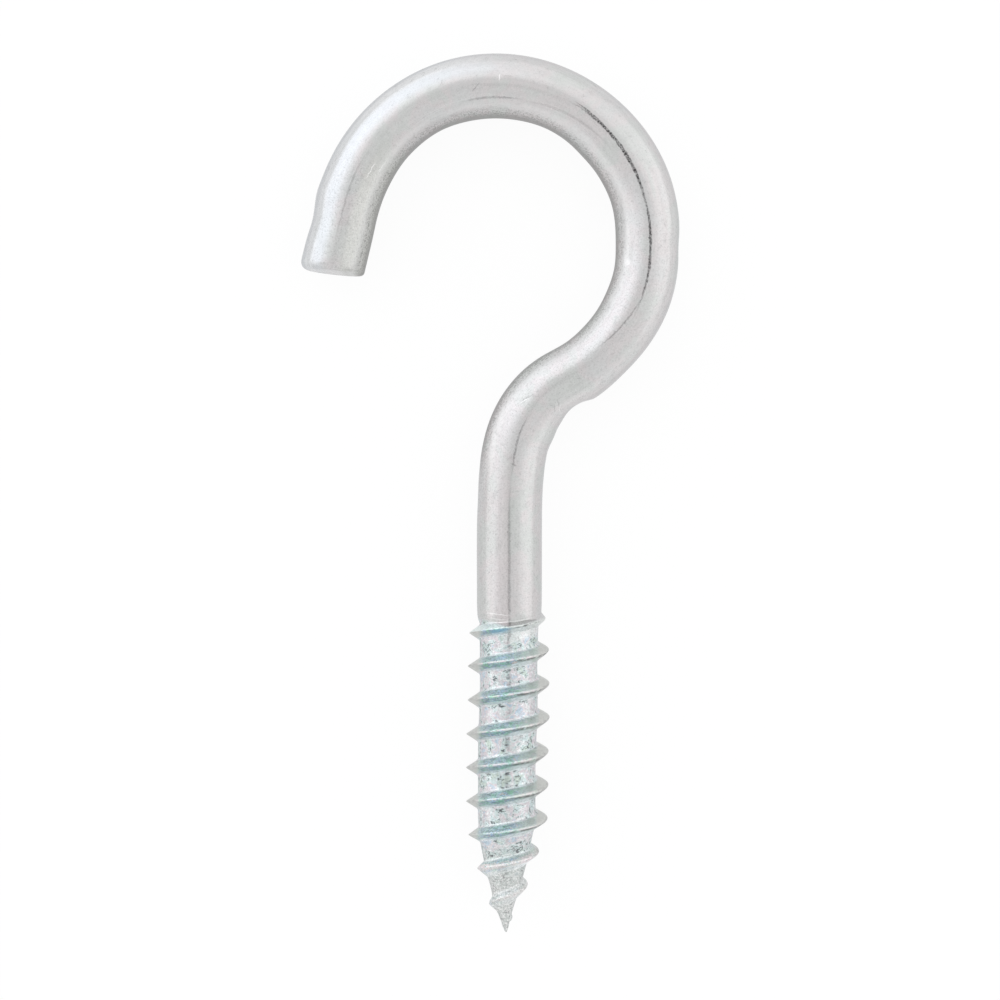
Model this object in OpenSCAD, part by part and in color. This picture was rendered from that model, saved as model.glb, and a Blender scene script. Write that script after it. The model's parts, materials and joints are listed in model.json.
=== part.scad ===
// Screw hook: one length of round steel wire, bent to an open round hook on an
// offset neck, with a coarse right-hand wood thread rolled onto the straight end
// and run down to a gimlet point. It lies on its side. The screw's axis runs along
// Y with the point at -Y, the mouth of the hook looks to -X, and Z = 0 is the
// surface under the crests of the thread. All sizes are in millimetres.

/* [Wire] */
// Diameter of the wire
wire_d = 5.85; // [4.6:0.05:8]
// Rounding of the edge at the cut end of the hook
end_round = 0.6; // [0.2:0.05:1.6]

/* [Shank and neck] */
// Plain shank between the thread and the first bend
shank_len = 8.75; // [3:0.05:20]
// Radius of the easy bend above the shank, to the middle of the wire
ease_r = 35; // [15:0.5:60]
// Angle of the easy bend
ease_angle = 10; // [2:0.5:25]
// Radius of the tight neck bend, to the middle of the wire
neck_r = 8.9; // [6:0.1:16]
// Angle of the neck bend
neck_angle = 49.5; // [25:0.5:60]
// Straight wire between the neck and the hook
neck_len = 1.2; // [0.4:0.1:8]

// Depth of the mark that the forming pin leaves inside the neck
mark_depth = 0.35; // [0.05:0.05:0.6]
// How much smaller the pin's radius is than the inside of the neck
pin_play = 2.7; // [0.3:0.1:3]
// How far before the end of the neck the mark is deepest, as an angle
mark_back = 0; // [0:1:25]

/* [Hook] */
// Radius of the bend that leads from the neck into the hook
heel_r = 13.7; // [9:0.1:20]
// Angle of that bend
heel_angle = 56; // [20:0.5:70]
// Radius of the flatter back of the hook
back_r = 21; // [12:0.5:40]
// Angle of the back
back_angle = 5; // [2:0.5:30]
// Radius of the crown of the hook, to the middle of the wire
crown_r = 13.8; // [10:0.1:20]
// Angle of the crown
crown_angle = 165; // [120:0.5:185]
// Straight lip at the end of the hook
lip_len = 6.4; // [2:0.1:15]

/* [Thread] */
// Length from the shoulder of the thread to the tip of the point
thread_len = 29.2; // [20:0.1:45]
// Distance from crest to crest
pitch = 3.06; // [2.4:0.02:4]
// How far the crests stand out from the surface of the wire
crest_rise = 0.82; // [0.4:0.02:1.4]
// How far the root lies below the surface of the wire
root_sink = 0.27; // [0.1:0.01:0.6]
// Width of the ridge where its flanks meet the root
ridge_w = 1.75; // [1:0.05:2.4]
// Width of the narrow land along the crest
crest_w = 0.16; // [0.06:0.02:0.4]
// Width of the fillet between the flanks and the root
foot_w = 0.3; // [0.1:0.02:0.5]
// Length of the cone that leads from the shank down to the root
shoulder_len = 1.3; // [0.6:0.1:3]
// First crest on the +X side, measured down from the shoulder
first_crest = 0.4; // [0:0.1:3]
// Length over which the crest climbs to its full height
climb_len = 4.5; // [1:0.1:8]
// Length over which the root tapers to the tip
point_len = 10.5; // [5:0.1:16]
// Curve of that taper: 1 is a straight cone, more makes a fuller point
point_curve = 1.5; // [1:0.1:3]
// Bare tip of the point, without a crest
tip_len = 1.1; // [0.5:0.1:3]

/* [Hidden] */
$fn = 96;

wire_r = wire_d / 2;
root_r = wire_r - root_sink;
crest_r = wire_r + crest_rise;
zinc = [0.78, 0.79, 0.80];

// The bent wire from the shoulder of the thread to the lip, one stage a line:
// straight length, radius of the bend (to the right negative) and its angle
stages = [
    [shank_len, 0, 0],
    [0, -ease_r, ease_angle],
    [0, -neck_r, neck_angle],
    [neck_len, 0, 0],
    [0, heel_r, heel_angle],
    [0, back_r, back_angle],
    [0, crown_r, crown_angle],
    [lip_len, 0, 0]
];
last_stage = len(stages) - 1;

// A spot on the middle of the wire is [x, y, heading]. It moves by three rules:
// sideways to its left, straight on, and by the angle a round a bend of radius r
function beside(p, d) = [p.x - d * sin(p[2]), p.y + d * cos(p[2]), p[2]];
function ahead(p, d) = [p.x + d * cos(p[2]), p.y + d * sin(p[2]), p[2]];
function turned(p, a) = [p.x, p.y, p[2] + a];
function bent(p, r, a) = beside(turned(beside(p, r), sign(r) * a), -r);
function along(p, s) = s[0] > 0 ? ahead(p, s[0]) : bent(p, s[1], s[2]);
function spot(i) = i < 1 ? [0, 0, 90] : along(spot(i - 1), stages[i - 1]);

// Every second stage is a hair thinner and laps into its neighbours, so that no
// two end faces lie in one plane
hair = 0.005;
lap = 0.05;

// The outline is widest where a bend runs along X or Y, or at the rounded lip
bend_edges = [
    for (i = [0 : last_stage], quarter = [-360 : 90 : 360], side = [-wire_r, wire_r])
        let (p = spot(i), s = stages[i], a = (quarter - p[2]) * sign(s[1]))
            if (s[1] != 0 && a >= 0 && a <= s[2]) beside(bent(p, s[1], a), side)
];
lip_edges = [
    for (side = [end_round - wire_r, wire_r - end_round], reach = [-end_round, end_round])
        let (p = beside(ahead(spot(last_stage), lip_len - end_round), side)) [p.x + reach, p.y + reach]
];
edges = concat(bend_edges, lip_edges, [[0, -thread_len]]);
x_all = [for (e = edges) e.x];
y_all = [for (e = edges) e.y];
middle = [(min(x_all) + max(x_all)) / 2, (min(y_all) + max(y_all)) / 2];

// Half of the ridge's section as [distance from the crest along the axis, share of
// its height]: the edge of the land, the top of the fillet and its end on the root,
// which keeps at least a narrow land of its own
least_land = 0.1;
half_ridge = [
    [crest_w / 2, 1],
    [(ridge_w - foot_w) / 2, foot_w / (ridge_w - crest_w)],
    [min(ridge_w + foot_w, pitch - least_land) / 2, 0]
];
// One whole turn, from the middle of one crest to that of the next
turn = concat(
    half_ridge, [[pitch / 2, 0]],
    [for (i = [len(half_ridge) - 1 : -1 : 0]) [pitch - half_ridge[i][0], half_ridge[i][1]]]
);

// The threaded end is one skin of columns round the axis and rows that climb with
// the helix, so each row keeps its place on the ridge all the way. t is measured
// along the axis from the shoulder, downwards. The skin starts inside the shank.
cols = 48;
buried_crest = 0.45;
buried_root = 0.6;
turns_above = ceil((first_crest + buried_root) / pitch) + 1;
rows = len(turn) * (ceil(thread_len / pitch) + turns_above + 1);
function row_t(col, row) = first_crest + pitch * (floor(row / len(turn)) - turns_above + col / cols)
    + turn[row % len(turn)][0];

// Radius of the root, which tapers in a curve to the tip
function core_r(t) = root_r * (1 - pow(max(0, 1 - (thread_len - t) / point_len), point_curve));
// Height of the ridge: it climbs out of the shank and fades towards the tip
function share(d, full) = sqrt(min(1, max(0, d / full)));
function ridge_h(t) = (crest_r - root_r) * share(t + buried_crest, climb_len)
    * share(thread_len - tip_len - t, point_len - tip_len);

module threaded_end() {
    ring = [for (c = [0 : cols - 1]) let (a = 360 * c / cols) [root_r * cos(a), root_r * sin(a), -buried_root]];
    skin = [
        for (c = [0 : cols - 1], r = [0 : rows + len(turn) - 1])
            let (a = 360 * c / cols, t = row_t(c, r), rad = core_r(t) + turn[r % len(turn)][1] * ridge_h(t))
                [rad * cos(a), rad * sin(a), t]
    ];
    points = concat(ring, skin, [[0, 0, thread_len]]);
    // Rows above the top fall together on the ring, rows below the tip on the tip,
    // and so do those that come too near to leave a sound face between
    near = 0.05;
    function at(c, r) =
        row_t(c, r) < near - buried_root ? c % cols
        : row_t(c, r) > thread_len - 2 * near ? len(points) - 1
        : c == cols ? at(0, r + len(turn))
        : cols + c * (rows + len(turn)) + r;
    halves = [
        for (c = [0 : cols - 1], r = [0 : rows - 2])
            let (p = at(c, r), q = at(c + 1, r), s = at(c + 1, r + 1), u = at(c, r + 1))
                each [[p, s, q], [p, u, s]]
    ];
    // A triangle that lost a side there has no area and is left out
    faces = [for (f = halves) if (f[0] != f[1] && f[1] != f[2] && f[2] != f[0]) f];
    rotate([90, 0, 0]) polyhedron(points = points, faces = concat([[for (c = [0 : cols - 1]) c]], faces));
}

// The plain shank, and the cone from it down to the root of the thread, whose
// small end is tucked inside the root
module shank() {
    tuck = 0.06;
    small_r = root_r - tuck;
    rotate([-90, 0, 0]) rotate_extrude()
        polygon([[0, -shoulder_len], [small_r, -shoulder_len], [wire_r, 0], [wire_r, shank_len], [0, shank_len]]);
}

// The forming pin, sunk into the inside of the neck. It stands inside the bend, off
// its centre by what puts its nearest point mark_depth deep in the wire
module pin() {
    neck = 2;
    pin_r = neck_r - wire_r - pin_play;
    deepest = bent(spot(neck), stages[neck][1], neck_angle - mark_back);
    at = beside(deepest, mark_depth - wire_r - pin_r);
    translate([at.x, at.y, -wire_d]) cylinder(r = pin_r, h = 2 * wire_d);
}

// One stage of wire, of radius r. It starts and ends the given reach beyond its own
module stretch(s, r, reach) {
    if (s[0] > 0)
        translate([-reach, 0]) rotate([0, 90, 0]) cylinder(r = r, h = s[0] + 2 * reach);
    else
        let (extra = reach / abs(s[1]) * 180 / PI)
            translate([0, s[1]]) rotate(s[1] > 0 ? -90 - extra : 90 - s[2] - extra)
                rotate_extrude(angle = s[2] + 2 * extra) translate([abs(s[1]), 0]) circle(r = r);
}

// The straight lip, cut square, with a rounded edge at its end
module lip_end(r) {
    flat_r = r - end_round;
    rotate([0, 90, 0]) rotate_extrude() {
        translate([0, -lap]) square([r, lip_len - end_round + lap]);
        translate([0, lip_len - end_round]) {
            square([flat_r, end_round]);
            translate([flat_r, 0]) intersection() {
                circle(r = end_round);
                square(end_round);
            }
        }
    }
}

module screw_hook() {
    color(zinc) translate([-middle.x, -middle.y, crest_r]) {
        threaded_end();
        shank();
        difference() {
            for (i = [1 : last_stage], p = [spot(i)])
                translate([p.x, p.y]) rotate(p[2])
                    if (i == last_stage) lip_end(wire_r - hair);
                    else stretch(stages[i], wire_r - hair * (i % 2), lap * (i % 2));
            pin();
        }
    }
}

screw_hook();
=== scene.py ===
# A screw hook of bright zinc-plated steel wire, lying on its side on a white table.
import json
from math import atan2, ceil, cos, exp, hypot, pi, radians, sin, sqrt, tan

import bmesh
import bpy
from mathutils import Matrix, Vector, noise


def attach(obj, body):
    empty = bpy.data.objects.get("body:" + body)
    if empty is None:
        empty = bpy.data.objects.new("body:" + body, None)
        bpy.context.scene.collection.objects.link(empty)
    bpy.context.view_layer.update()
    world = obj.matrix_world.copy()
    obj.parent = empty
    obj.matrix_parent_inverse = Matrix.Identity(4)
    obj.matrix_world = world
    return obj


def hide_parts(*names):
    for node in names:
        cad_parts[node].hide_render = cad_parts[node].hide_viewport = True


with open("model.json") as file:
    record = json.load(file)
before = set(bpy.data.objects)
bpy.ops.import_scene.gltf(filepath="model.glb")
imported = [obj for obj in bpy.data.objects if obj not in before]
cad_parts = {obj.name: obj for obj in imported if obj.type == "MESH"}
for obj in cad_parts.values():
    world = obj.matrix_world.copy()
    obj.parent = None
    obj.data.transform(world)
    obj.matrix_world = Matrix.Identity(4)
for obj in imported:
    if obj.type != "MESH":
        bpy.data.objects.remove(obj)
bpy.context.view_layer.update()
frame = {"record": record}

# ------------------------------------------------------------------ the hook's sizes, in mm

MM = 0.001
thread_mount = next(m for m in frame["record"]["mounts"] if m["name"] == "wood_thread")
SHOULDER = Vector(thread_mount["pos_m"]) / MM
THREAD_LEN = thread_mount["dims"]["length_mm"]
CREST_R = thread_mount["dims"]["r_mm"]
WIRE_R = 2.925
ROOT_R = 2.655
PITCH = 3.06

# The bends of the wire from the shoulder of the thread to the cut end, one a line:
# straight length, radius of the bend (to the right negative) and its angle
RUN = [
    (8.75, 0, 0),
    (0, -35, radians(10)),
    (0, -8.9, radians(49.5)),
    (1.2, 0, 0),
    (0, 13.7, radians(56)),
    (0, 21, radians(5)),
    (0, 13.8, radians(165)),
    (6.4, 0, 0),
]
AROUND = 120  # columns of the skin round the wire
RING_STEP = 0.35  # length of wire between two rings of it


def arc_length(stage):
    length, radius, angle = stage
    return length or abs(radius) * angle


WIRE_LEN = sum(map(arc_length, RUN))


# A spot on the middle of the wire is (x, y, heading)
def beside(spot, d):
    x, y, h = spot
    return x - d * sin(h), y + d * cos(h), h


def moved_on(spot, stage, part):
    """The spot a part of a stage further on."""
    length, radius, angle = stage
    if not radius:
        x, y, h = spot
        return x + length * part * cos(h), y + length * part * sin(h), h
    x, y, h = beside(spot, radius)
    return beside((x, y, h + (angle if radius > 0 else -angle) * part), -radius)


def spot_at(s):
    """The spot a length s of wire above the shoulder. The wire's last line runs on straight."""
    spot = (SHOULDER.x, SHOULDER.y, radians(90))
    for stage in RUN:
        full = arc_length(stage)
        if s <= full or stage is RUN[-1]:
            return moved_on(spot, stage, s / full)
        spot = moved_on(spot, stage, 1)
        s -= full


def smooth_max(a, b, soft):
    return (a + b + sqrt((a - b) ** 2 + soft * soft)) / 2


def share(x, low, high):
    """0 below low, 1 above high, with a soft start and end between."""
    t = min(1, max(0, (x - low) / (high - low)))
    return t * t * (3 - 2 * t)


def bell(x, middle, reach):
    return exp(-(((x - middle) / reach) ** 2))


# ------------------------------------------------------------------ what bending and cutting did

NECK_END = sum(map(arc_length, RUN[:3]))
PIN_R = 3.28
PIN_DEPTH = 0.36
pin = beside(spot_at(NECK_END + 0.1), PIN_DEPTH - WIRE_R - PIN_R)

# How far the left side (+) and the right side (-) of the wire lie outside a round wire of
# WIRE_R: length above the shoulder, side, reach along the wire, amount
SIDE_FORMS = [
    (4.5, 1, 5.0, 0.035), (10.0, 1, 1.3, -0.045), (14.0, 1, 1.3, 0.045),
    (25.0, 1, 3.0, -0.115), (30.0, 1, 3.0, -0.10), (35.0, 1, 2.5, -0.12),
    (42.5, 1, 2.6, -0.08), (49.0, 1, 1.8, 0.07), (54.5, 1, 3.0, -0.07),
    (66.8, 1, 3.0, -0.09), (75.2, 1, 2.6, 0.08), (79.6, 1, 1.2, -0.05),
    (4.0, -1, 6.0, 0.045), (9.5, -1, 2.6, 0.035), (17.1, -1, 1.5, 0.16),
    (27.2, -1, 2.4, -0.14), (33.4, -1, 2.2, 0.07), (37.8, -1, 1.2, -0.11),
    (43.8, -1, 4.0, 0.07), (53.5, -1, 5.0, -0.045), (72.0, -1, 6.0, -0.08),
    (78.6, -1, 1.0, 0.08), (81.1, -1, 1.3, -0.13),
]
# Small dents: length above the shoulder, angle round the wire from its left side over its
# top, length, width, depth
DENTS = [
    (36.2, 52, 0.6, 0.5, 0.05), (62.2, 80, 0.5, 0.25, 0.03), (60.2, 100, 0.25, 0.5, 0.03),
    (20.3, 143, 0.7, 0.3, 0.05), (19.0, 72, 0.9, 0.3, 0.03), (69.5, 120, 0.35, 0.9, 0.02),
    (9.4, 60, 0.5, 0.3, 0.02), (13.2, 128, 0.4, 0.3, 0.03), (50.2, 40, 0.6, 0.4, 0.02),
    (71.0, 30, 0.8, 0.4, 0.02), (44.0, 130, 0.5, 0.6, 0.02), (6.1, 95, 0.3, 0.3, 0.02),
]
CAP_STEPS = 8  # rings round the edge of the cut end
CUT_SLANT = tan(radians(6.1))
CUT_LEN = WIRE_LEN + 0.16


def worked(side, height, s):
    """Where a point of the plain wire ended up: its side, height and length along."""
    r = hypot(side, height)
    left = side / WIRE_R
    # Slow waves left by the rollers, and the sides that the bending pressed or drew in
    r += 0.012 * noise.noise(Vector((side * 0.25, height * 0.25, s * 0.22)))
    for at, sign, reach, amount in SIDE_FORMS:
        r += amount * max(0, sign * left) ** 2 * bell(s, at, reach)
    for at, angle, length, width, depth in DENTS:
        if abs(s - at) < 3 * length:
            a = radians(angle)
            off = hypot(side - WIRE_R * cos(a), height - WIRE_R * sin(a))
            r -= depth * bell(s, at, length) * bell(off, 0, width)
    scale = r / WIRE_R
    # The cut end: the rings beyond the wire's length turn in round its edge
    slant = share(s, WIRE_LEN - 3.2, WIRE_LEN)
    over = s - WIRE_LEN
    if over > 0:
        round_r = 0.56 - 0.2 * left
        turn = min(1, over / CAP_STEPS) * pi / 2
        scale = (r - round_r * (1 - cos(turn))) / WIRE_R
        s = WIRE_LEN + round_r * sin(turn)
    s += slant * ((CUT_LEN - WIRE_LEN) - CUT_SLANT * side) - share(s, WIRE_LEN - 1.2, WIRE_LEN) * (0.56 - 0.2 * left)
    return side * scale, height * scale, s


def pressed_by_pin(x, y):
    """The forming pin's mark: nothing of the wire lies inside the pin."""
    away = Vector((x - pin[0], y - pin[1]))
    if away.length > PIN_R + 1:
        return x, y
    away *= smooth_max(away.length, PIN_R, 0.09) / away.length
    return pin[0] + away.x, pin[1] + away.y


# ------------------------------------------------------------------ the wire

def sweep(mesh, rim, centre=(0, 0, 0), turn=0.0, move=(0, 0, 0), steps=1):
    """Draws the rim on by a turn about an upright axis or by a straight move."""
    out = bmesh.ops.spin(
        mesh, geom=rim, cent=centre, axis=(0, 0, 1), dvec=move, angle=turn, steps=steps,
        use_duplicate=False, use_merge=False,
    )
    return [g for g in out["geom_last"] if isinstance(g, bmesh.types.BMEdge)]


def drawn_wire():
    """The wire from the shoulder to its cut end. The layer keeps where each point lay in the
    straight wire: to its left, above its middle and along it from the shoulder."""
    mesh = bmesh.new()
    straight = mesh.verts.layers.float_vector.new("straight")
    upright = Matrix.Translation(SHOULDER) @ Matrix.Rotation(radians(90), 4, "X")
    bmesh.ops.create_circle(mesh, segments=AROUND, radius=WIRE_R, matrix=upright)
    rim = list(mesh.edges)
    spot, s = (SHOULDER.x, SHOULDER.y, radians(90)), 0.0

    def keep_place():
        x, y, h = spot
        for v in {v for e in rim for v in e.verts}:
            v[straight] = ((v.co.x - x) * -sin(h) + (v.co.y - y) * cos(h), v.co.z - SHOULDER.z, s)

    keep_place()
    for stage in RUN:
        length, radius, angle = stage
        steps = ceil(arc_length(stage) / RING_STEP)
        for _ in range(steps):
            onward = moved_on(spot, stage, 1 / steps)
            if radius:
                x, y, _h = beside(spot, radius)
                rim = sweep(mesh, rim, (x, y, 0), onward[2] - spot[2])
            else:
                rim = sweep(mesh, rim, move=(onward[0] - spot[0], onward[1] - spot[1], 0))
            spot = onward
            s += arc_length(stage) / steps
            keep_place()
    for step in range(1, CAP_STEPS + 1):
        rim = sweep(mesh, rim)
        s = WIRE_LEN + step
        keep_place()
    cap = bmesh.ops.edgeloop_fill(mesh, edges=rim)["faces"]
    for thickness in (0.5, 0.55, 0.5):
        bmesh.ops.inset_region(mesh, faces=cap, thickness=thickness)
    bmesh.ops.poke(mesh, faces=cap)
    return mesh, straight


# ------------------------------------------------------------------ the thread

# Half of one turn of the skin, from a crest to the middle of the root: finer over the crest
# and in the fillet at the foot of the flank
HALF_TURN = [0, 0.035, 0.075, 0.12, 0.18, 0.26, 0.35, 0.45, 0.55, 0.65, 0.75, 0.86, 1.0, 1.2]
FIRST_CREST = 0.4
POINT_LEN = 10.5
TURNS_ABOVE = 2
SWELL = 0.7  # length of shank that the start of the ridge swells
TURNS = ceil(THREAD_LEN / PITCH) + TURNS_ABOVE


def core_r(t):
    """Radius of the root, t below the shoulder."""
    taper = 1 - max(0, 1 - (THREAD_LEN - t) / POINT_LEN) ** 1.5
    slimmer = 0.045 * share(t, 1.5, 4.5) - 0.05 * bell(t, 10, 2.2) + 0.04 * share(t, 18.5, 21) * (1 - share(t, 27, 29))
    return ROOT_R * taper - slimmer * min(1, taper * 3) + 0.07 * share(t, 27.8, 28.8)


def drift(t):
    """How far the rolling carried the ridge towards the tip from an even pitch."""
    return 0.18 * (1 - share(t, 0, 2.6)) + 0.05 * share(t, 4, 13) + 0.2 * bell(t, 26.6, 1.2)


def lean(t):
    """How far the thread stands over towards the mouth of the hook."""
    low = 0.09 * share(t, 19, 21) * (1 - share(t, 26, 28)) + 0.05 * share(t, 18, 29) + 0.12 * bell(t, 27.3, 1.5)
    return 0.06 * share(t, 0, 4) - 0.02 * bell(t, 9.5, 2) + 0.17 * share(t, 7, 14) + low


def ridge_share(t):
    climb = sqrt(min(1, max(0, (t + 0.45) / 4.5)))
    fade = sqrt(min(1, max(0, (THREAD_LEN - 1.1 - t) / (POINT_LEN - 1.1))))
    return climb * fade


def thread_point(x, z, t):
    """Radius of the thread's skin, the share of the ridge in it and the way from the crest
    towards the tip, for a direction across the axis and a depth below the shoulder."""
    angle = atan2(z, x)
    u = (t - FIRST_CREST - PITCH * angle / (2 * pi)) % PITCH
    u = u - PITCH if u > PITCH / 2 else u
    right = 0.5 + 0.5 * cos(angle)
    full = (CREST_R - ROOT_R) * ridge_share(t) + 0.1 * right * bell(t, 14.5, 3)
    full += 0.15 * (1 - share(t, 2.2, 3.8))
    # The last turns are nicked along the crest
    full -= 0.07 * share(t, 17, 23) * max(0, noise.noise(Vector((x * 0.9, z * 0.9, t * 0.4)))) * min(1, full)
    # A blunter crest with a fuller flank towards the tip on the right side; the first turn
    # swells gently out of the shank
    crest = 0.05 + 0.1 * right + 0.12 * share(t, 22, 26)
    if u > 0:
        slope = 1.66 - 0.29 * right ** 4 - (0.75 - 0.2 * right) * share(t, 21, 25)
    else:
        slope = 1.62 + 0.6 * right - 0.55 * (1 - share(t, 1.9, 3.0)) - 0.35 * share(t, 20, 25)
    ridge = full + slope * (crest - sqrt(u * u + crest * crest))
    ridge = smooth_max(ridge, 0, 0.12) if full > 0.05 else 0
    root = core_r(t)
    wall = WIRE_R + (ROOT_R - WIRE_R) * share(t, 0, 1.3)
    cone = wall if t < 1.3 else 0
    r = max(root + ridge, cone) if cone else root + ridge
    blunt = min(1, max(0, (THREAD_LEN - t) / 0.12))
    return r * sqrt(blunt), min(1, ridge / (CREST_R - ROOT_R)), u


def rolled_thread(mesh, straight, ridge_layer, tipward_layer):
    """The thread's skin: the edge of one turn is spun down along the helix and repeated, and
    every point is then set out to the thread's radius at its place."""
    us = HALF_TURN + [PITCH / 2] + [PITCH - u for u in reversed(HALF_TURN)]
    top = FIRST_CREST - TURNS_ABOVE * PITCH
    row = [mesh.verts.new((SHOULDER.x + WIRE_R, SHOULDER.y - top - u, SHOULDER.z)) for u in us]
    chain = [mesh.edges.new(pair) for pair in zip(row, row[1:])]
    bmesh.ops.spin(
        mesh, geom=chain, cent=SHOULDER, axis=(0, -1, 0), dvec=(0, -PITCH / AROUND, 0),
        angle=2 * pi, steps=AROUND, use_duplicate=False, use_merge=False,
    )
    first = [g for v in mesh.verts if v[straight].length == 0 for g in (v, *v.link_edges, *v.link_faces)]
    first = list(set(first))
    for turn in range(1, TURNS):
        copy = bmesh.ops.duplicate(mesh, geom=first)["geom"]
        verts = [g for g in copy if isinstance(g, bmesh.types.BMVert)]
        bmesh.ops.translate(mesh, vec=(0, -PITCH * turn, 0), verts=verts)
    for v in mesh.verts:
        if v[straight].length == 0:
            x, z, t = v.co.x - SHOULDER.x, v.co.z - SHOULDER.z, SHOULDER.y - v.co.y
            t = min(THREAD_LEN, max(0, t))
            r, ridge, tipward = thread_point(x, z, t)
            scale = r / hypot(x, z)
            x, z = x * scale, z * scale
            t = min(THREAD_LEN, t + drift(t) * share(t, 0, 0.3)) if t < THREAD_LEN - 0.5 else t
            v.co = (SHOULDER.x + x - lean(t), SHOULDER.y - t, SHOULDER.z + z)
            v[straight] = (-x, z, -t)
            v[ridge_layer], v[tipward_layer] = ridge, tipward


# ------------------------------------------------------------------ the whole hook

def screw_hook():
    mesh, straight = drawn_wire()
    ridge_layer = mesh.verts.layers.float.new("ridge")
    tipward_layer = mesh.verts.layers.float.new("tipward")
    for v in mesh.verts:
        place = Vector(v[straight])
        if place.length == 0:  # the cut face
            place = Vector((0, 0, WIRE_LEN + CAP_STEPS))
            x, y, h = spot_at(WIRE_LEN)
            place.x = (v.co.x - x) * -sin(h) + (v.co.y - y) * cos(h)
            place.y = v.co.z - SHOULDER.z
            v[straight] = place
    for v in mesh.verts:
        side, height, s = v[straight]
        over = s >= WIRE_LEN + CAP_STEPS and hypot(side, height) < WIRE_R - 0.1
        new_side, new_height, new_s = worked(side, height, s)
        if s < SWELL:
            # The ridge's start swells out of the shank
            r = hypot(new_side, new_height)
            top = thread_point(-side, height, 0)[0]
            swell = (top + (r - top) * share(s, 0, SWELL)) / r
            new_side, new_height = new_side * swell, new_height * swell
        if over:
            shrink = (WIRE_R - 0.56 + 0.2 * side / WIRE_R) / WIRE_R
            new_side, new_height = side * shrink, height * shrink
            new_s += 0.04 * noise.noise(Vector((side * 0.9, height * 0.9, 3.1)))
        x, y, h = spot_at(min(new_s, 1e3))
        x, y, _ = beside((x, y, h), new_side)
        x, y = pressed_by_pin(x, y)
        v.co = (x, y, SHOULDER.z + new_height)
    rolled_thread(mesh, straight, ridge_layer, tipward_layer)
    bmesh.ops.remove_doubles(mesh, verts=mesh.verts, dist=0.004)
    for v in mesh.verts:
        over = v[straight][2] - WIRE_LEN
        if over > 0:
            v[straight] = (v[straight][0], v[straight][1], WIRE_LEN + 0.08 * over)
    bmesh.ops.recalc_face_normals(mesh, faces=mesh.faces)
    for f in mesh.faces:
        f.smooth = True
    bmesh.ops.scale(mesh, vec=(MM, MM, MM), verts=mesh.verts)
    data = bpy.data.meshes.new("zinc_plated_hook")
    mesh.to_mesh(data)
    mesh.free()
    piece = bpy.data.objects.new("zinc_plated_hook", data)
    bpy.context.scene.collection.objects.link(piece)
    return piece


# ------------------------------------------------------------------ materials

class Finish:
    """A material's nodes, written as nested calls."""

    def __init__(self, name):
        self.material = bpy.data.materials.new(name)
        self.material.use_nodes = True
        self.nodes = self.material.node_tree.nodes
        self.links = self.material.node_tree.links
        self.nodes.clear()

    def add(self, kind, inputs=(), out=0, **settings):
        node = self.nodes.new("ShaderNode" + kind)
        for key, value in settings.items():
            setattr(node, key, value)
        for key, value in dict(inputs).items():
            socket = node.inputs[key]
            if isinstance(value, bpy.types.NodeSocket):
                self.links.new(value, socket)
            else:
                socket.default_value = value
        return node.outputs[out] if node.outputs else node

    def sum(self, operation, a, b=0.0, c=0.0):
        return self.add("Math", {0: a, 1: b, 2: c}, operation=operation)

    def noise(self, where, scale, detail=2.0, rough=0.5, distort=0.0):
        return self.add("TexNoise", {"Vector": where, "Scale": scale, "Detail": detail, "Roughness": rough, "Distortion": distort})

    def ramp(self, value, low, high, to_low=0.0, to_high=1.0):
        return self.add(
            "MapRange", {0: value, 1: low, 2: high, 3: to_low, 4: to_high}, interpolation_type="SMOOTHSTEP",
        )

    def blend(self, share, a, b, how="MIX"):
        return self.add("Mix", {0: share, 6: a, 7: b}, out=2, data_type="RGBA", blend_type=how)

    def colours(self, value, stops):
        node = self.nodes.new("ShaderNodeValToRGB")
        bar = node.color_ramp
        while len(bar.elements) < len(stops):
            bar.elements.new(0.5)
        for element, (place, colour) in zip(bar.elements, stops):
            element.position, element.color = place, (*colour, 1)
        self.links.new(value, node.inputs[0])
        return node.outputs[0]


# Fine lines scored in the plating, and a painted reflection of a dark gap above the wire: the
# long lines that run along the middle of the wire are this painted reflection, the others are
# scores. Side and length above the shoulder of the middle, turn in degrees, half width, half
# length, how dark
SCORES_AND_REFLECTED_LINE = [
    (0.09, 46.6, 0.5, 0.18, 6.9, 1.0), (0.0, 50.7, -1.5, 0.11, 2.3, 0.75), (-0.12, 37.4, 2.0, 0.15, 6.4, 0.9),
    (0.14, 29.8, -7.5, 0.10, 3.2, 0.5), (0.03, 1.6, 0.0, 0.17, 2.9, 0.4), (0.02, 5.2, 0.0, 0.15, 7.2, 0.34), (-0.06, 15.2, -1.0, 0.12, 3.2, 0.45),
    (0.0, -9.0, 0.0, 0.24, 12.5, 0.55), (0.0, 78.4, -1.5, 0.12, 4.4, 0.28), (1.45, 60.6, 0.5, 0.12, 3.4, 0.4),
    (1.2, 52.6, 3.5, 0.14, 5.4, 0.2), (0.5, 62.15, 40.0, 0.06, 0.62, 0.4), (-0.45, 59.2, 2.0, 0.05, 0.6, 0.3),
    (0.88, 19.25, -25.0, 0.08, 0.62, 0.3), (-1.75, 20.75, 62.0, 0.10, 0.75, 0.3),
    (-1.62, 20.15, 40.0, 0.08, 0.5, 0.25), (-0.1, 13.3, 70.0, 0.12, 0.34, 0.5), (0.05, 7.2, 75.0, 0.12, 0.3, 0.4),
    (-1.6, -1.1, -77.0, 0.10, 1.5, 0.9),
]
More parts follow.
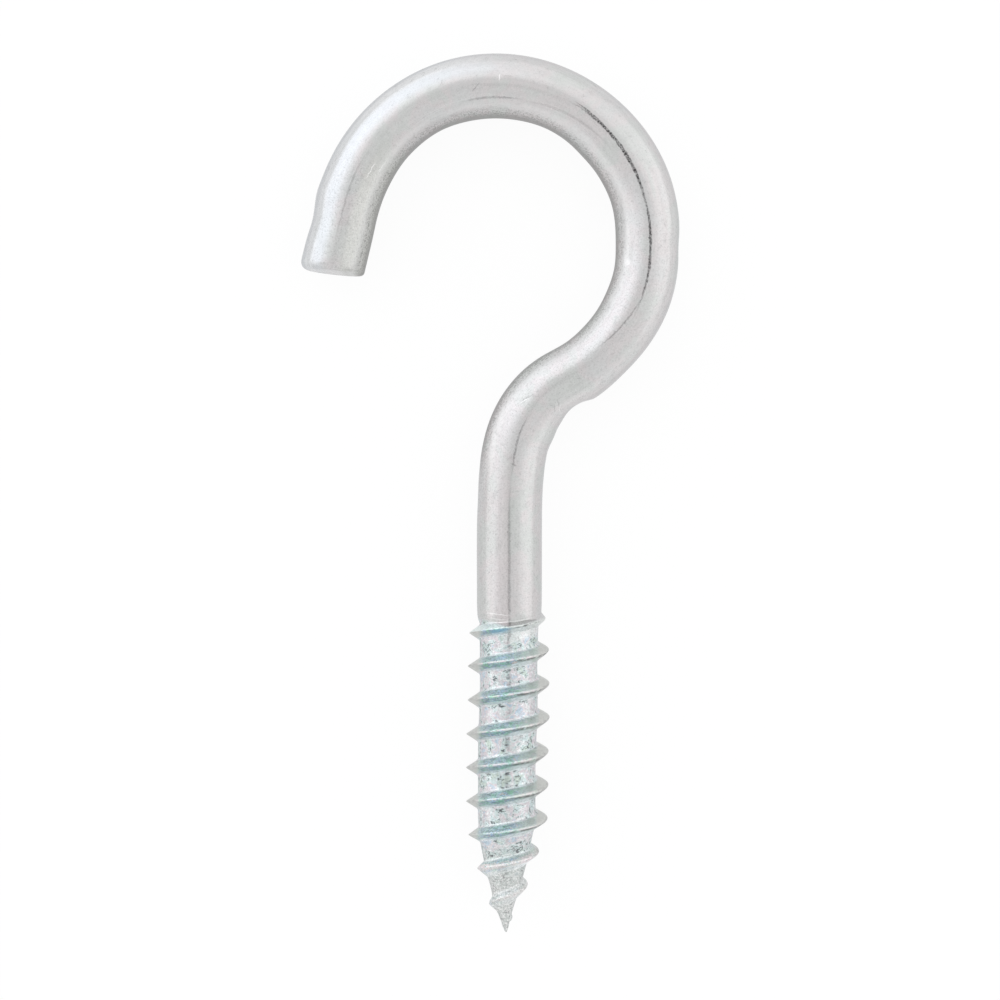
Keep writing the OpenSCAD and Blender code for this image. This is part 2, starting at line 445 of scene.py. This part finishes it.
# Thin bright scrapes, laid out the same way
SCRAPES = [
    (1.16, 75.4, -2.0, 0.07, 1.0, 0.5), (1.85, 74.6, -3.0, 0.06, 0.9, 0.45),
    (1.9, 35.9, 10.0, 0.38, 0.55, 0.4), (-1.95, 20.6, 40.0, 0.10, 0.6, 0.35),
    (-0.25, 59.95, 85.0, 0.06, 0.4, 0.5), (0.95, 18.9, -25.0, 0.06, 0.5, 0.4),
    (1.1, -0.15, 85.0, 0.06, 1.5, 0.45), (1.0, -0.6, 84.0, 0.05, 1.3, 0.35),
]


def zinc_plating():
    """Bright zinc over drawn wire: silver with faint pink, blue and green clouds, fine draw
    marks and scores along the wire, a painted reflection of a dark gap down the middle of the wire,
    painted highlights along its sides and painted shade along its left edge from the neck on, and
    in the thread a cyan to blue film on the flanks, with painted highlights at the feet and on the
    shoulder-facing flanks of the ridges, and painted greying and shade towards the thread's sides."""
    f = Finish("zinc_plated_steel")
    wire = f.add("Attribute", attribute_name="straight", attribute_type="GEOMETRY", out=1)
    ridge = f.add("Attribute", attribute_name="ridge", attribute_type="GEOMETRY", out=2)
    parts = f.add("SeparateXYZ", {0: wire}).node.outputs
    side, along = parts["X"], parts["Z"]
    stretched = f.add("Mapping", {"Vector": wire, "Scale": (1, 1, 0.06)})
    tipward = f.add("Attribute", attribute_name="tipward", attribute_type="GEOMETRY", out=2)
    across = f.sum("ABSOLUTE", side)
    threaded = f.ramp(f.sum("MULTIPLY_ADD", across, -0.24, along), -1.1, -1.45)
    point = f.ramp(along, -21.5, -25.5)

    clouds = f.noise(wire, 0.22, 3.0, 0.6, 0.4)
    grain = f.noise(wire, 6.5, 3.0, 0.7)
    mottle = f.noise(wire, 1.7, 3.0, 0.6)
    draw_marks = f.noise(stretched, 2.6, 3.0, 0.6)
    tint = f.colours(clouds, [
        (0.30, (0.566, 0.586, 0.570)), (0.43, (0.586, 0.592, 0.586)), (0.50, (0.612, 0.588, 0.590)),
        (0.58, (0.596, 0.591, 0.593)), (0.68, (0.588, 0.597, 0.595)),
    ])
    rosy = f.sum("MULTIPLY", f.ramp(side, 0.0, 0.12), f.ramp(side, 1.5, 0.9, 0.0, 0.6))
    rosy = f.sum("MULTIPLY", rosy, f.ramp(along, 15.0, 11.0))
    tint = f.blend(rosy, tint, (0.612, 0.570, 0.575, 1))
    hooked = f.ramp(along, 57.0, 66.0)
    sallow = f.sum("MULTIPLY", f.ramp(side, 0.3, 1.2, 0.0, 0.8), f.ramp(along, 70.0, 76.0))
    tint = f.blend(sallow, tint, (0.565, 0.570, 0.545, 1))
    icy = f.sum("MULTIPLY", f.ramp(side, -0.4, -1.2, 0.0, 0.8), hooked)
    tint = f.blend(icy, tint, (0.605, 0.628, 0.650, 1))
    past_shank = f.ramp(along, 10.0, 16.0)
    # Painted highlight: a band along each side of the wire from the neck on is lightened towards near white, strongest
    # over the heel on the left and towards the end of the crown on the right.
    left_side_highlight = f.sum("MULTIPLY", f.ramp(side, 1.5, 2.1), f.ramp(side, 2.65, 2.1, 0.0, 1.0))
    left_side_highlight = f.sum("MULTIPLY", left_side_highlight, f.ramp(along, 46.0, 34.0, 0.34, 0.85))
    left_side_highlight = f.sum("MULTIPLY", left_side_highlight, f.ramp(along, 20.0, 28.0, 0.7, 1.0))
    right_side_highlight = f.sum("MULTIPLY", f.ramp(side, -1.5, -2.1), f.ramp(side, -2.7, -2.35))
    right_side_highlight = f.sum("MULTIPLY", right_side_highlight, f.ramp(along, 57.0, 66.0, 0.2, 0.55))
    right_side_highlight = f.sum("MULTIPLY", right_side_highlight, f.ramp(along, 70.0, 74.0, 1.0, 0.6))
    painted_side_highlight = f.sum("MULTIPLY", f.sum("MAXIMUM", left_side_highlight, right_side_highlight), past_shank)
    tint = f.blend(painted_side_highlight, tint, (0.86, 0.86, 0.86, 1))
    quiet = f.sum("MULTIPLY", f.ramp(along, 36.0, 50.0), f.ramp(along, 77.0, 73.0))
    coarse = f.sum("MULTIPLY", f.ramp(side, -2.5, 2.5, 0.85, 1.2), f.ramp(quiet, 0.0, 1.0, 1.15, 0.68))
    coarse = f.sum("MULTIPLY", coarse, f.ramp(along, 73.0, 77.0, 1.0, 1.2))
    dust = f.sum("MULTIPLY", f.ramp(grain, 0.50, 0.28, 0.0, 0.34), coarse)
    plain = f.blend(dust, tint, (0.28, 0.28, 0.28, 1))
    plain = f.blend(f.sum("MULTIPLY", f.ramp(grain, 0.52, 0.72, 0.0, 0.16), coarse), plain, (0.9, 0.9, 0.9, 1))
    plain = f.blend(f.ramp(mottle, 0.35, 0.65, 0.0, 0.06), plain, (0.30, 0.30, 0.30, 1))
    plain = f.blend(f.ramp(draw_marks, 0.58, 0.42, 0.0, 0.06), plain, (0.30, 0.30, 0.30, 1))
    flecks = f.sum("MULTIPLY", f.ramp(mottle, 0.62, 0.68, 0.0, 0.35), f.ramp(grain, 0.45, 0.6))
    plain = f.blend(flecks, plain, (0.22, 0.22, 0.22, 1))
    # Painted shade along the left edge of the wire from the neck on: the edge itself is darkened towards near black,
    # and a band just inside it is darkened in specks by the grain.
    painted_edge_shade = f.sum("MULTIPLY", f.ramp(side, 2.5, 2.92, 0.0, 0.5), past_shank)
    plain = f.blend(painted_edge_shade, plain, (0.12, 0.12, 0.11, 1))
    edge_shade_specks = f.sum("MULTIPLY", f.ramp(side, 2.1, 2.6, 0.0, 0.5), f.ramp(side, 2.92, 2.7, 0.1, 1.0))
    edge_shade_specks = f.sum("MULTIPLY", edge_shade_specks, f.ramp(grain, 0.50, 0.42))
    plain = f.blend(f.sum("MULTIPLY", edge_shade_specks, past_shank), plain, (0.16, 0.16, 0.15, 1))

    shaken = f.add("TexNoise", {"Vector": wire, "Scale": 4.0, "Detail": 2.0, "Roughness": 0.7}, out=1)
    ragged = f.add("MixRGB", {0: 0.28, 1: wire, 2: shaken}, blend_type="ADD")
    broken = f.sum("MULTIPLY", f.ramp(grain, 0.38, 0.54, 0.25, 1.0), f.ramp(mottle, 0.40, 0.52, 0.78, 1.0))
    # The dark lines are scores and, along the middle of the wire, a painted reflection of a dark gap above it. The
    # light ones are scrapes.
    for lines, colour, along_line in ((SCORES_AND_REFLECTED_LINE, (0.035, 0.033, 0.035, 1), broken), (SCRAPES, (0.9, 0.9, 0.9, 1), 1.0)):
        drawn = 0.0
        for at_side, at, turn, half_width, half_length, depth in lines:
            near = f.add("Mapping", {
                "Vector": ragged, "Location": (at_side + 0.14, 2.75, at + 0.14),
                "Rotation": (0, radians(turn), 0), "Scale": (half_width, 4, half_length),
            }, vector_type="TEXTURE")
            off = f.add("VectorMath", {0: near}, out=1, operation="LENGTH")
            drawn = f.sum("MAXIMUM", drawn, f.ramp(off, 1.1, 0.45, 0.0, depth))
        drawn = f.sum("MULTIPLY", drawn, along_line)
        plain = f.blend(drawn, plain, colour)
        scores_and_reflected_line = drawn if lines is SCORES_AND_REFLECTED_LINE else scores_and_reflected_line

    blotch = f.noise(wire, 0.95, 3.0, 0.6, 0.8)
    turned = f.add("Mapping", {"Vector": wire, "Scale": (0.5, 1, 1)})
    chatter = f.noise(turned, 3.4, 3.0, 0.75, 0.5)
    root = f.colours(blotch, [
        (0.34, (0.54, 0.63, 0.58)), (0.43, (0.57, 0.68, 0.69)), (0.51, (0.65, 0.68, 0.69)),
        (0.58, (0.67, 0.61, 0.64)), (0.67, (0.51, 0.62, 0.71)),
    ])
    low = f.ramp(along, -20.5, -23.0)
    root = f.blend(f.sum("MULTIPLY", low, 0.7), root, (0.50, 0.57, 0.54, 1))
    pits = f.sum("MULTIPLY", f.ramp(chatter, 0.54, 0.60, 0.0, 1.0), f.ramp(blotch, 0.44, 0.54, 1.0, 0.15))
    root = f.blend(pits, root, (0.12, 0.13, 0.14, 1))
    root = f.blend(f.ramp(chatter, 0.44, 0.36, 0.0, 0.5), root, (0.95, 0.96, 0.96, 1))
    # The same painted reflection and scores, broken by the mottle, darken the thread's roots.
    thread_scores_and_reflected_line = f.sum("MULTIPLY", scores_and_reflected_line, f.ramp(mottle, 0.42, 0.56, 0.3, 1.0))
    root = f.blend(thread_scores_and_reflected_line, root, (0.10, 0.10, 0.12, 1))

    film = f.colours(f.noise(wire, 1.6, 3.0, 0.75, 0.6), [
        (0.37, (0.30, 0.68, 0.42)), (0.45, (0.48, 0.74, 0.72)), (0.52, (0.64, 0.69, 0.70)),
        (0.58, (0.31, 0.58, 0.88)), (0.65, (0.84, 0.67, 0.63)),
    ])
    uphill = f.ramp(tipward, 0.05, -0.05)
    left_half = f.ramp(side, -1.0, 1.2)
    # Painted highlight: the flanks facing the shoulder over the left half are lightened towards bluish white.
    film = f.blend(f.sum("MULTIPLY", f.sum("MULTIPLY", uphill, left_half), 0.4), film, (0.80, 0.97, 1.0, 1))
    film = f.blend(f.ramp(chatter, 0.46, 0.62, 0.0, 0.6), film, (0.26, 0.36, 0.38, 1))
    film = f.blend(f.ramp(grain, 0.50, 0.38, 0.0, 0.6), film, (0.18, 0.28, 0.32, 1))
    film = f.blend(f.ramp(grain, 0.56, 0.68, 0.0, 0.5), film, (0.92, 0.97, 0.98, 1))
    # Painted reflection: towards the sides of the thread the film gives way to grey, as the flanks there reflect their
    # surroundings. Over the right half it turns greyer too.
    greyer_right_and_sides = f.sum("MAXIMUM", f.ramp(side, 0.4, -2.0, 0.0, 0.75), f.ramp(across, 2.2, 2.9))
    flank = f.blend(greyer_right_and_sides, film, (0.70, 0.75, 0.71, 1))
    flank = f.blend(f.ramp(across, 2.4, 2.9, 0.0, 0.8), flank, (0.60, 0.60, 0.58, 1))
    # Painted shade: a darker band on the flanks near the sides of the thread.
    side_flank_shade = f.sum("MULTIPLY", f.ramp(across, 1.7, 2.15), f.ramp(across, 2.9, 2.3, 0.0, 0.22))
    flank = f.blend(side_flank_shade, flank, (0.26, 0.31, 0.29, 1))
    # Painted highlight at the foot of each ridge: a band reaching up the flank from the root, wider and brighter on
    # the tip side of the right half, is lightened towards bluish white.
    reach = f.ramp(side, 1.0, -1.0, 0.16, 0.36)
    reach = f.sum("MULTIPLY", reach, f.ramp(uphill, 0.0, 1.0, 1.0, 0.0))
    foot = f.sum("MULTIPLY", f.ramp(ridge, 0.01, 0.06), f.ramp(f.sum("SUBTRACT", ridge, reach), 0.30, 0.14))
    foot = f.sum("MULTIPLY", foot, f.ramp(across, 2.5, 1.9, 0.1, 1.0))
    foot = f.sum("MULTIPLY", foot, f.ramp(f.sum("MULTIPLY_ADD", reach, 5.0, side), -1.0, 1.0, 0.65, 1.0))
    brighter = f.add("Mix", {0: uphill, 2: f.ramp(side, 0.5, -1.4, 0.8, 1.6), 3: 1.0})
    shine = f.sum("MULTIPLY", f.sum("MULTIPLY", foot, f.ramp(mottle, 0.4, 0.6, 0.4, 0.8)), brighter)
    on_flank = f.ramp(ridge, 0.10, 0.30)
    young = f.ramp(f.sum("MULTIPLY_ADD", side, 0.24, along), -3.0, -2.5)
    blue = f.sum("MULTIPLY", f.ramp(side, -0.3, 0.2), f.ramp(side, 1.9, 1.4, 0.0, 0.75))
    blue = f.sum("MULTIPLY", f.sum("MULTIPLY", blue, young), f.ramp(tipward, 0.02, 0.12))
    flank = f.blend(blue, flank, (0.30, 0.54, 0.72, 1))
    # Painted highlight on the first turns: the same flanks are lightened further.
    shoulder_side_highlight = f.sum("MULTIPLY", f.sum("MULTIPLY", uphill, left_half), young)
    flank = f.blend(f.sum("MULTIPLY", shoulder_side_highlight, 0.7), flank, (0.88, 0.97, 0.96, 1))
    under = f.sum("MULTIPLY", f.ramp(ridge, 0.66, 0.80), f.ramp(tipward, 0.02, 0.08))
    under = f.sum("MULTIPLY", under, f.ramp(side, 0.6, -1.0, 0.1, 0.8))
    under = f.sum("MULTIPLY", under, f.ramp(chatter, 0.42, 0.52))
    flank = f.blend(under, flank, (0.14, 0.14, 0.14, 1))
    crest = f.colours(blotch, [(0.4, (0.80, 0.80, 0.77)), (0.6, (0.86, 0.74, 0.77))])
    crest = f.blend(f.sum("MULTIPLY", young, 0.8), crest, (0.97, 0.84, 0.82, 1))
    # Painted shade: the crests turn darker grey towards the sides of the thread.
    crest = f.blend(f.ramp(across, 2.3, 3.0), crest, (0.46, 0.46, 0.45, 1))
    on_crest = f.sum("MULTIPLY", f.ramp(ridge, 0.90, 0.98), f.ramp(mottle, 0.40, 0.56, 0.0, 0.7))
    on_crest = f.sum("MAXIMUM", on_crest, f.sum("MULTIPLY", f.ramp(ridge, 0.35, 0.55), f.sum("MULTIPLY", low, f.ramp(chatter, 0.38, 0.50))))
    # The painted foot highlight goes on over the root and flank colours.
    flank = f.blend(shine, f.blend(on_flank, root, flank), (0.88, 0.95, 0.97, 1))
    thread = f.blend(on_crest, flank, crest)
    thread = f.blend(f.sum("MULTIPLY", young, f.ramp(side, 0.7, -0.5, 0.0, 0.7)), thread, (0.78, 0.80, 0.79, 1))
    # The painted reflection and scores also darken the first turns of the thread.
    thread = f.blend(f.sum("MULTIPLY", young, thread_scores_and_reflected_line), thread, (0.10, 0.10, 0.10, 1))
    thread = f.blend(f.sum("MULTIPLY", point, 0.7), thread, (0.62, 0.63, 0.62, 1))
    thread = f.blend(f.ramp(grain, 0.55, 0.35, 0.0, 0.3), thread, (0.25, 0.26, 0.26, 1))
    thread = f.blend(f.sum("MULTIPLY", point, f.ramp(chatter, 0.52, 0.66, 0.0, 0.5)), thread, (0.20, 0.20, 0.20, 1))
    thread = f.blend(f.sum("MULTIPLY", low, f.ramp(grain, 0.50, 0.62, 0.0, 0.5)), thread, (0.97, 0.95, 0.95, 1))
    colour = f.blend(threaded, plain, thread)

    height = f.sum("MULTIPLY_ADD", grain, 0.008, f.sum("MULTIPLY", draw_marks, 0.005))
    rough_bump = f.sum("MULTIPLY", f.noise(wire, 1.9, 4.0, 0.65), f.sum("MULTIPLY", threaded, 0.05))
    height = f.sum("ADD", height, rough_bump)
    bump = f.add("Bump", {"Strength": 1.0, "Distance": 0.001, "Height": height})
    roughness = f.ramp(draw_marks, 0.3, 0.7, 0.16, 0.22)
    roughness = f.sum("ADD", roughness, f.sum("MULTIPLY", f.ramp(side, 0.8, 2.2, 0.0, 0.22), past_shank))
    in_thread = f.sum("MULTIPLY", threaded, f.ramp(ridge, 0.0, 0.3, 0.05, 0.22))
    # The metal is made less metallic under the painted foot highlight and, more weakly, on the film of the flanks.
    foot_highlight_and_film = f.sum("MAXIMUM", foot, f.sum("MULTIPLY", on_flank, 0.3))
    metallic = f.ramp(f.sum("MULTIPLY", threaded, foot_highlight_and_film), 0.0, 1.0, 1.0, 0.5)
    roughness = f.sum("ADD", roughness, f.sum("MAXIMUM", in_thread, f.sum("MULTIPLY", point, 0.25)))
    shader = f.add("BsdfPrincipled", {
        "Base Color": colour, "Metallic": metallic, "Roughness": roughness, "Normal": bump,
        "Specular Tint": (0.85, 0.85, 0.86, 1),
    })
    f.add("OutputMaterial", {"Surface": shader})
    return f.material


def lamp_card(strength, colour, half_size, soft):
    """Glowing cloth that fades to nothing over a soft share of its half size at each edge."""
    f = Finish("lamp_card")
    here = f.add("SeparateXYZ", {0: f.add("TexCoord", out=3)}).node.outputs
    glow = f.add("Emission", {"Color": (*colour, 1), "Strength": strength})
    fade = 1.0
    for axis, half, edge in zip("XY", half_size, soft):
        inward = f.ramp(f.sum("ABSOLUTE", here[axis]), half, half * (1 - edge))
        fade = f.sum("MULTIPLY", inward, fade)
    f.add("OutputMaterial", {"Surface": f.add("MixShader", {0: fade, 1: f.add("BsdfTransparent"), 2: glow})})
    f.material.cycles.emission_sampling = "NONE"
    return f.material


def white_table():
    """White for the camera and in the metal, with a faint shadow left by the object."""
    f = Finish("white_table")
    rays = f.nodes.new("ShaderNodeLightPath")
    seen = f.sum("MAXIMUM", rays.outputs["Is Camera Ray"], rays.outputs["Is Glossy Ray"])
    seen = f.sum("MAXIMUM", seen, rays.outputs["Is Transmission Ray"])
    paint = f.add("BsdfDiffuse", {"Color": (0.92, 0.92, 0.92, 1)})
    white = f.add("Emission", {"Strength": 1.0})
    f.add("OutputMaterial", {"Surface": f.add("MixShader", {0: f.sum("MULTIPLY", seen, 0.92), 1: paint, 2: white})})
    f.material.cycles.emission_sampling = "NONE"
    return f.material


# ------------------------------------------------------------------ studio

def sheet(name, size, place, material):
    """A flat stage piece, made lying flat and then set in its place."""
    mesh = bmesh.new()
    bmesh.ops.create_grid(mesh, x_segments=1, y_segments=1, size=0.5)
    data = bpy.data.meshes.new(name)
    bmesh.ops.scale(mesh, vec=(size[0], size[1], 1), verts=mesh.verts)
    mesh.to_mesh(data)
    mesh.free()
    obj = bpy.data.objects.new(name, data)
    obj.matrix_world = place
    data.materials.append(material)
    bpy.context.scene.collection.objects.link(obj)
    return obj


def card(name, azimuth, tilt, turn, distance, spread, soft, strength, colour=(1, 1, 1)):
    """A glowing card facing the hook from an azimuth (from +X to +Y) and a tilt from overhead,
    turned in its own plane. Its spread is half its size as a share of the distance: away from
    overhead, then level."""
    place = (
        Matrix.Rotation(radians(azimuth), 4, "Z") @ Matrix.Rotation(radians(tilt), 4, "Y")
        @ Matrix.Translation((0, 0, distance)) @ Matrix.Rotation(radians(turn), 4, "Z")
    )
    half = (spread[0] * distance, spread[1] * distance)
    obj = sheet(name, (2 * half[0], 2 * half[1]), place, lamp_card(strength, colour, half, soft))
    obj.visible_camera = False
    return obj


def studio():
    sheet("white_table", (3, 3), Matrix.Identity(4), white_table())
    card("upper_left_card", 136, 62.6, 28, 0.50, (1.20, 1.20), (0.96, 0.97), 1.64, (0.985, 0.995, 1.02))
    card("right_card", 20, 65.8, 40, 0.56, (0.96, 1.28), (0.69, 0.86), 1.33)
    card("left_card", 181, 75.7, -40, 0.62, (0.56, 0.80), (0.46, 1.0), 1.31)
    card("grey_strip", 274, 65.7, 1, 0.68, (0.16, 0.96), (0.65, 1.0), 0.84)
    card("lower_card", 279, 70, -9, 0.74, (0.56, 2.4), (0.25, 0.3), 1.09)
    card("top_card", 100, 61, -18, 0.86, (0.80, 1.02), (0.3, 0.61), 1.22)
    card("lens_gap", 0, 0, 0, 0.40, (0.12, 0.12), (1.0, 1.0), 0.66)
    world = bpy.data.worlds.new("white_studio")
    world.use_nodes = True
    world.node_tree.nodes["Background"].inputs["Color"].default_value = (1, 1, 1, 1)
    world.node_tree.nodes["Background"].inputs["Strength"].default_value = 1.0
    bpy.context.scene.world = world


def camera():
    """Straight above the hook, with the crown at the top of the picture."""
    lens = bpy.data.cameras.new("camera")
    above = 0.217
    view_width = 0.091
    lens.sensor_width = 36
    lens.lens = lens.sensor_width * above / view_width
    lens.clip_start, lens.clip_end = 0.01, 5
    obj = bpy.data.objects.new("camera", lens)
    obj.location = (0.000835, -0.000640, SHOULDER.z * MM + above)
    bpy.context.scene.collection.objects.link(obj)
    bpy.context.scene.camera = obj


# ------------------------------------------------------------------ the scene

hook = screw_hook()
hook.data.materials.append(zinc_plating())
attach(hook, "root")
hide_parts("screw_hook")
studio()
camera()
bpy.context.scene.view_settings.view_transform = "Standard"
